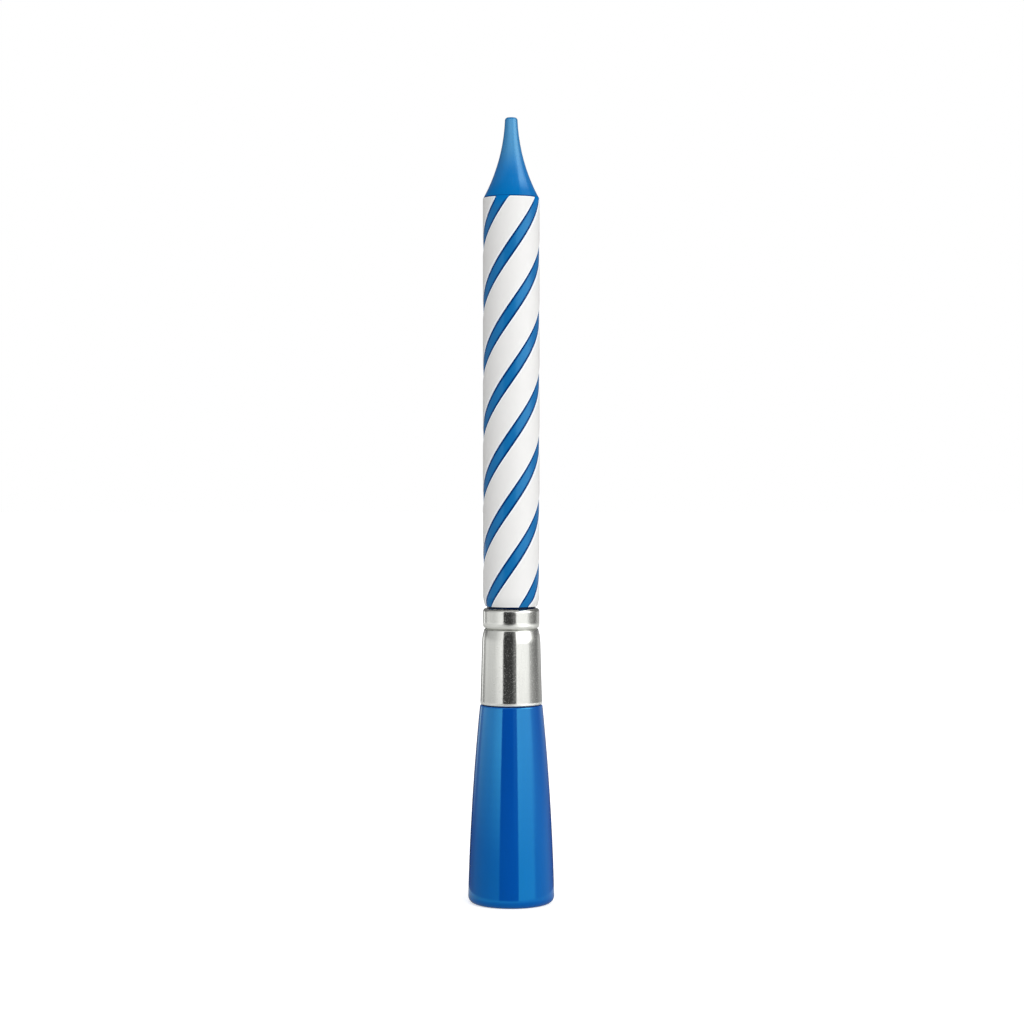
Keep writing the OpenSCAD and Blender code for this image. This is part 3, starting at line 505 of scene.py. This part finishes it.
def lamp_finish(tones):
    """Clear cast resin with faint clouding"""
    finish, tree, shader = new_finish("lamp_resin", tones.lamp, roughness=0.06)
    shader.inputs["Transmission Weight"].default_value = 0.85
    cloud = grain(tree, 1.5 * MM, detail=3)
    set_input(tree, shader, "Base Color", blend_tones(tree, cloud, scaled(tones.lamp, 0.94), tones.lamp))
    set_input(tree, shader, "Roughness", vary(tree, cloud, low=0.04, high=0.1))
    return finish


# Objects in the scene

def add_to_scene(name, data):
    """A new object in the scene, from a mesh, a lamp or a camera"""
    made = bpy.data.objects.new(name, data)
    bpy.context.scene.collection.objects.link(made)
    return made


# Spiral strips

def spread(low, high, steps):
    """Evenly spaced values, both ends included"""
    return [low + (high - low) * i / steps for i in range(steps + 1)]


def round_draw(across, radius):
    """How far a quarter round of that radius draws in, from 0 inside it to its radius at its end"""
    part = min(1.0, max(0.0, across / radius))
    return radius * (1 - math.sqrt(1 - part * part))


def strip_section(outer, inner, half_width, edge, band, face_steps):
    """Half-open loop of (radius, angle, edge share) round a strip: up, over its face, down and back"""
    half = half_width / outer
    side = half - edge / outer
    rise = spread(0, math.pi / 2, EDGE_STEPS)
    corner = [(outer - edge + edge * math.sin(a), side + edge / outer * math.cos(a), 1.0) for a in rise]
    corner = [(inner, half, 1.0)] + corner + [(outer, half - FULL_BAND * band / outer, 1.0)]
    plain = half - band / outer
    face = [(outer, a, 0.0) for a in spread(-plain, plain, face_steps)]
    back = [(inner, a, 0.0) for a in spread(half, -half, BACK_STEPS)[1:-1]]
    return [(r, -a, e) for r, a, e in corner] + face + list(reversed(corner)) + back


def section_ring(section, angle, z):
    """A strip's section turned to an angle and raised to a height, as (point, edge share)"""
    return [((r * math.cos(a + angle), r * math.sin(a + angle), z), e) for r, a, e in section]


def loft(name, rings):
    """Closed mesh through equal rings of (point, edge share), with the edge share kept on the mesh"""
    count = len(rings[0])
    faces = []
    for level in range(len(rings) - 1):
        for i in range(count):
            low = level * count
            after = (i + 1) % count
            faces.append((low + i, low + count + i, low + count + after, low + after))
    faces.append(tuple(range(count)))
    faces.append(tuple(reversed(range((len(rings) - 1) * count, len(rings) * count))))
    mesh = bpy.data.meshes.new(name)
    mesh.from_pydata([point for ring in rings for point, mark in ring], [], faces)
    marks = mesh.attributes.new("edge", "FLOAT", "POINT")
    marks.data.foreach_set("value", [mark for ring in rings for point, mark in ring])
    mesh.polygons.foreach_set("use_smooth", [True] * len(mesh.polygons))
    mesh.set_sharp_from_angle(angle=SHARP_EDGE)
    mesh.validate()
    return mesh


def join_meshes(name, meshes):
    """One object that holds several separate strips"""
    parts = [add_to_scene(name, mesh) for mesh in meshes]
    with bpy.context.temp_override(active_object=parts[0], selected_editable_objects=parts):
        bpy.ops.object.join()
    parts[0].name = name
    return parts[0]


def stripe_angle(sizes, height):
    """Angle round the axis at which the first stripe crosses a height"""
    climb = (height - CORE_LOW.z - sizes.stripe_front) / sizes.stripe_lead
    return 2 * math.pi * climb - math.pi / 2


def spiral_strips(name, sizes, start, levels, section_at):
    """Strips along the helix, with a section for each level; start is in steps from stripe to stripe"""
    pitch = 2 * math.pi / sizes.stripe_count
    meshes = []
    for i in range(sizes.stripe_count):
        offset = (i + start) * pitch
        rings = [section_ring(section_at(z), offset + stripe_angle(sizes, z), z) for z in levels]
        meshes.append(loft(name, rings))
    return join_meshes(name, meshes)


def foot_draw(sizes, height):
    """How far the rounded foot draws in at a height above it"""
    return sizes.foot_draw * max(0.0, 1 - height / sizes.foot_height) ** FOOT_BOW


def foot_levels(low, height):
    """Levels through the rounded foot, closer together at its lower end"""
    return [low + height * (1 - math.cos(math.pi / 2 * i / ROUND_STEPS)) for i in range(ROUND_STEPS)]


def corner_levels(high, corner):
    """Levels through a panel's rounded upper corners, closer together towards the top"""
    turns = spread(0, math.pi / 2, ROUND_STEPS)[1:]
    return [high - corner + corner * math.sin(a) for a in turns]


def white_panels(sizes):
    """The white panels: rounded edges, rounded upper corners and a rounded foot"""
    low, high = PANEL_LOW.z, PANEL_HIGH.z
    outer, edge, corner = sizes.panel_radius, sizes.panel_edge, sizes.panel_corner
    inner = outer - sizes.panel_thickness
    width = 2 * math.pi / sizes.stripe_count - sizes.stripe_width
    half_width = width / 2 * outer - sizes.seam

    def section_at(z):
        """A panel's section, with the paler band of painted highlight all round at its upper end"""
        draw = foot_draw(sizes, z - low) + round_draw(z - high + edge, edge)
        half = half_width - CORNER_TAPER * round_draw(z - high + corner, corner)
        section = strip_section(outer - draw, inner, half, edge, sizes.panel_band, PANEL_FACE_STEPS)
        # Painted highlight all round the panel's upper end
        if z > high - TOP_BAND * edge:
            section = [(r, a, 1.0) for r, a, e in section]
        return section

    levels = foot_levels(low, sizes.foot_height)
    levels += spread(low + sizes.foot_height, high - corner, BODY_STEPS)
    levels += corner_levels(high, corner)
    return spiral_strips("white_panels", sizes, 0.5, levels, section_at)


def blue_stripes(sizes):
    """The blue stripes: lower edges beside the panels, a rounded foot and a run-out into the tip"""
    low, high = RIB_LOW.z, PANEL_HIGH.z
    outer, blend = sizes.rib_radius, sizes.rib_blend
    inner = sizes.panel_radius - sizes.panel_thickness
    half_width = sizes.stripe_width / 2 * outer - sizes.seam
    tip_radius = sizes.panel_radius - sizes.tip_ledge

    def section_at(z):
        """A stripe's section, which meets the tip's base and loses its bands of painted shade at the top"""
        top = max(0.0, 1 - (high - z) / blend)
        draw = foot_draw(sizes, z - low) + (outer - tip_radius) * top * top
        section = strip_section(outer - draw, inner, half_width, sizes.rib_edge, sizes.rib_band,
                                STRIPE_FACE_STEPS)
        return [(r, a, e * (1 - top)) for r, a, e in section]

    levels = foot_levels(low, sizes.foot_height)
    levels += spread(low + sizes.foot_height, high - blend, BODY_STEPS)
    levels += spread(high - blend, high + sizes.rib_overrun, ROUND_STEPS)[1:]
    return spiral_strips("blue_stripes", sizes, 0, levels, section_at)


def place_on_candle(piece, finish, node):
    """Puts a new piece in a node's place on the twisting candle"""
    piece.data.materials.clear()
    piece.data.materials.append(finish)
    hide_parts(node)
    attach(piece, "candle")


# Stage

def new_card(name, points, faces, material):
    """A piece of the stage"""
    mesh = bpy.data.meshes.new(name)
    mesh.from_pydata(points, [], faces)
    mesh.materials.append(material)
    card = add_to_scene(name, mesh)
    return card


def plain_light(name, radiance):
    """Light of one radiance"""
    material, tree = bare_material(name)
    light = add_node(tree, "ShaderNodeEmission", {"Strength": radiance})
    add_node(tree, "ShaderNodeOutputMaterial", {"Surface": light.outputs[0]})
    return material


def spread_light(name, near, far, near_radiance, far_radiance):
    """Light that changes with the distance from the axis"""
    material = plain_light(name, near_radiance)
    tree = material.node_tree
    place = split_point(tree)
    flat = add_node(tree, "ShaderNodeCombineXYZ", {"X": place["X"], "Y": place["Y"]})
    away = add_node(tree, "ShaderNodeVectorMath", {0: flat.outputs[0]}, operation="LENGTH")
    light = map_range(tree, away.outputs["Value"], near, far, near_radiance, far_radiance)
    tree.links.new(light, tree.nodes["Emission"].inputs["Strength"])
    return material


def stops_ramp(tree, along, stops):
    """Colour ramp through stops of degrees and four values, or one value that stands for all four"""
    ramp = add_node(tree, "ShaderNodeValToRGB", {"Fac": along})
    elements = ramp.color_ramp.elements
    elements.remove(elements[-1])
    for degrees, *values in stops:
        elements.new((degrees + 180) / 360).color = (values * 4)[:4]
    elements.remove(elements[0])
    return ramp


def tent_cloth(stage):
    """Light that changes round the tent and with height"""
    material = plain_light("tent_cloth", stage.rim_light)
    tree = material.node_tree
    place = split_point(tree)
    front = math_node(tree, "MULTIPLY", place["Y"], -1.0)
    angle = math_node(tree, "ARCTAN2", place["X"], front)
    along = map_range(tree, angle, -math.pi, math.pi)
    ramp = stops_ramp(tree, along, TENT_STOPS)
    levels = [*add_node(tree, "ShaderNodeSeparateColor", {0: ramp.outputs["Color"]}).outputs]
    levels += [ramp.outputs["Alpha"], stops_ramp(tree, along, CROWN_STOPS).outputs["Alpha"]]
    light = stage.rim_light
    for (low, high), radiance in zip(TENT_LEVELS, levels):
        rise = map_range(tree, place["Z"], low, high)
        mix = add_node(tree, "ShaderNodeMix", {"Factor": rise, "A": light, "B": radiance})
        light = mix.outputs["Result"]
    tree.links.new(light, tree.nodes["Emission"].inputs["Strength"])
    return material


def mirrored_card(name, points, faces, material):
    """A card that only gloss and metal see"""
    card = new_card(name, points, faces, material)
    card.visible_camera = False
    card.visible_diffuse = False
    card.visible_transmission = False
    card.visible_shadow = False


def round_points(radius, z):
    """Points round a circle at a height, the first one in front"""
    turns = spread(0, 2 * math.pi, TENT_SIDES)[:-1]
    return [(radius * math.sin(a), -radius * math.cos(a), z) for a in turns]


def mirrored_tent(stage):
    """Round tent that the gloss surfaces mirror, with a dim top, a bright ground and a shaded foot"""
    low = round_points(stage.tent_radius, -stage.tent_low)
    high = round_points(stage.tent_radius, stage.tent_high)
    shade = round_points(stage.shade_reach, -stage.shade_drop)
    sides = [(i, i + 1) for i in range(TENT_SIDES - 1)] + [(TENT_SIDES - 1, 0)]
    wall = [(i, after, TENT_SIDES + after, TENT_SIDES + i) for i, after in sides]
    mirrored_card("tent_wall", low + high, wall, tent_cloth(stage))
    top = plain_light("tent_top", stage.ceiling_light)
    ground = spread_light("tent_ground", stage.shade_reach, stage.tent_radius,
                          stage.ground_light, stage.rim_light)
    dim = spread_light("foot_shade", HANDLE_HIGH.x, stage.shade_reach, stage.shade_light, stage.shade_rim)
    for points, material in ((high, top), (low, ground), (shade, dim)):
        mirrored_card(material.name, points, [tuple(range(TENT_SIDES))], material)


def soft_lamp(stage):
    """Wide soft lamp in front and to the right, which lights the matt surfaces"""
    data = bpy.data.lights.new("soft_lamp", "SUN")
    data.energy = math.pi * stage.lamp_light
    data.angle = stage.lamp_size
    lamp = add_to_scene("soft_lamp", data)
    lamp.rotation_euler = (math.pi / 2 - stage.lamp_height, 0, stage.lamp_side)
    lamp.visible_glossy = False


def white_surroundings(stage):
    """White behind the object and in its reflections; a lower level for the light on it"""
    world = bpy.data.worlds.new("studio")
    bpy.context.scene.world = world
    world.use_nodes = True
    tree = world.node_tree
    rays = add_node(tree, "ShaderNodeLightPath")
    seen = rays.outputs["Is Camera Ray"]
    for kind in ("Is Glossy Ray", "Is Transmission Ray"):
        seen = math_node(tree, "MAXIMUM", seen, rays.outputs[kind])
    background = tree.nodes["Background"]
    background.inputs["Color"].default_value = (1, 1, 1, 1)
    tree.links.new(map_range(tree, seen, 0, 1, stage.sky_light, 1), background.inputs["Strength"])


def pale_floor(stage):
    """Pale floor that keeps the object's shadow and runs into the white behind"""
    material, tree = bare_material("floor_paper")
    tone = (stage.floor_colour,) * 3
    paper = add_node(tree, "ShaderNodeBsdfDiffuse", {"Color": (*tone, 1)})
    rays = add_node(tree, "ShaderNodeLightPath")
    white = math_node(tree, "MULTIPLY", rays.outputs["Is Camera Ray"], stage.floor_white)
    glow = add_node(tree, "ShaderNodeEmission", {"Strength": white})
    both = add_node(tree, "ShaderNodeAddShader", {0: paper.outputs[0], 1: glow.outputs[0]})
    add_node(tree, "ShaderNodeOutputMaterial", {"Surface": both.outputs[0]})
    reach, z = stage.floor_reach, -stage.floor_drop
    corners = [(-reach, -reach, z), (reach, -reach, z), (reach, reach, z), (-reach, reach, z)]
    floor = new_card("floor", corners, [(0, 1, 2, 3)], material)
    floor.visible_glossy = False


def front_camera(stage):
    """Camera in front of the candle, a little above its middle"""
    data = bpy.data.cameras.new("camera")
    data.lens = stage.lens
    data.shift_x = stage.camera_shift
    data.clip_start = stage.camera_near
    camera = add_to_scene("camera", data)
    camera.location = (0, -stage.camera_distance, stage.camera_height)
    camera.rotation_euler = (math.pi / 2 - stage.camera_tilt, 0, 0)
    bpy.context.scene.camera = camera


# Operators

class CANDLE_OT_stage(bpy.types.Operator):
    """Sets up the floor, the white surroundings, the tent, the lamp and the camera"""
    bl_idname = "candle.stage"
    bl_label = "Stage"

    def execute(self, context):
        stage = context.scene.candle_stage
        context.scene.view_settings.view_transform = "Standard"
        white_surroundings(stage)
        pale_floor(stage)
        mirrored_tent(stage)
        soft_lamp(stage)
        front_camera(stage)
        return {"FINISHED"}


class CANDLE_OT_white_panels(bpy.types.Operator):
    """Lofts the white panels between the stripes"""
    bl_idname = "candle.white_panels"
    bl_label = "White panels"

    def execute(self, context):
        finish = panel_finish(context.scene.candle_colours)
        place_on_candle(white_panels(context.scene.candle_sizes), finish, "candle_jacket")
        return {"FINISHED"}


class CANDLE_OT_blue_moulding(bpy.types.Operator):
    """Lofts the blue stripes and finishes the moulding with the tip"""
    bl_idname = "candle.blue_moulding"
    bl_label = "Stripes and tip"

    def execute(self, context):
        finish = stripe_finish(context.scene.candle_colours)
        place_on_candle(blue_stripes(context.scene.candle_sizes), finish, "spiral_ribs")
        dress(tip_finish(context.scene.candle_colours), "candle_core")
        return {"FINISHED"}


class CANDLE_OT_metalwork(bpy.types.Operator):
    """Finishes the ring and the sleeve in satin steel"""
    bl_idname = "candle.metalwork"
    bl_label = "Ring and sleeve"

    def execute(self, context):
        sizes, tones = context.scene.candle_sizes, context.scene.candle_colours
        dress(steel_finish("ring_steel", tones, RING_LOW.z, sizes.ring_lip), "collar_ring")
        dress(steel_finish("sleeve_steel", tones, SLEEVE_LOW.z, sizes.sleeve_lip), "ferrule_sleeve")
        return {"FINISHED"}


class CANDLE_OT_handle(bpy.types.Operator):
    """Finishes the gloss handle and the matt cover under it"""
    bl_idname = "candle.handle"
    bl_label = "Handle"

    def execute(self, context):
        tones = context.scene.candle_colours
        dress(handle_finish(tones), "handle_shell")
        dress(moulded_finish("cover_blue_matt", tones.cover_blue, low=0.5, high=0.65, texture=0.2 * MM),
              "base_cover")
        return {"FINISHED"}


class CANDLE_OT_inside(bpy.types.Operator):
    """Finishes the switch, the light, the board, the cells and the sounder"""
    bl_idname = "candle.inside"
    bl_label = "Inner pieces"

    def execute(self, context):
        tones = context.scene.candle_colours
        dress(moulded_finish("natural_moulding", tones.natural, low=0.4, high=0.55, texture=0.25 * MM),
              "candle_plug", "swivel_bush", "light_stalk")
        dress(moulded_finish("black_moulding", tones.black, low=0.45, high=0.6, texture=0.25 * MM),
              "battery_holder")
        dress(moulded_finish("chip_resin", tones.resin, low=0.25, high=0.4, texture=0.3 * MM),
              "melody_chip", "led_resistor", "drive_transistor")
        dress(moulded_finish("sounder_silvering", tones.ceramic, low=0.35, high=0.5, texture=0.15 * MM),
              "piezo_ceramic")
        dress(metal_finish("rolled_brass", tones.brass, low=0.22, high=0.34, rolled=(1, 0.05, 0.05)),
              "switch_wiper", "switch_tracks", "positive_contact", "piezo_disc")
        dress(metal_finish("bright_plating", tones.bright_steel, low=0.16, high=0.28,
                           rolled=(0.05, 0.05, 1)),
              "retaining_clip", "button_cell_lower", "button_cell_middle", "button_cell_upper",
              "battery_spring", "negative_contact", "base_screws")
        dress(board_finish(tones), "circuit_board")
        dress(wire_finish(tones), "led_wires", "piezo_wires")
        dress(lamp_finish(tones), "tip_led")
        return {"FINISHED"}


class CANDLE_PT_maker(bpy.types.Panel):
    """Lists the steps that dress the candle, with their sizes and colours"""
    bl_label = "Musical candle"
    bl_space_type = "VIEW_3D"
    bl_region_type = "UI"
    bl_category = "Candle"

    def draw(self, context):
        for step in STEPS:
            self.layout.operator(step.bl_idname)
        for name in GROUPS:
            group = getattr(context.scene, name)
            column = self.layout.column()
            for key in group.bl_rna.properties.keys():
                if key not in ("rna_type", "name"):
                    column.prop(group, key)


GROUPS = {"candle_sizes": CandleSizes, "candle_colours": CandleColours, "candle_stage": CandleStage}
STEPS = (CANDLE_OT_stage, CANDLE_OT_white_panels, CANDLE_OT_blue_moulding, CANDLE_OT_metalwork,
         CANDLE_OT_handle, CANDLE_OT_inside)
CLASSES = (*GROUPS.values(), *STEPS, CANDLE_PT_maker)


def register():
    """Makes the property groups, the steps and the panel known to Blender"""
    for kind in CLASSES:
        bpy.utils.register_class(kind)
    for name, kind in GROUPS.items():
        setattr(bpy.types.Scene, name, PointerProperty(type=kind))


def unregister():
    """Takes away what register adds"""
    for name in GROUPS:
        delattr(bpy.types.Scene, name)
    for kind in reversed(CLASSES):
        bpy.utils.unregister_class(kind)


def main():
    """Dresses the candle step by step"""
    register()
    bpy.ops.candle.stage()
    bpy.ops.candle.white_panels()
    bpy.ops.candle.blue_moulding()
    bpy.ops.candle.metalwork()
    bpy.ops.candle.handle()
    bpy.ops.candle.inside()


if __name__ == "__main__":
    main()
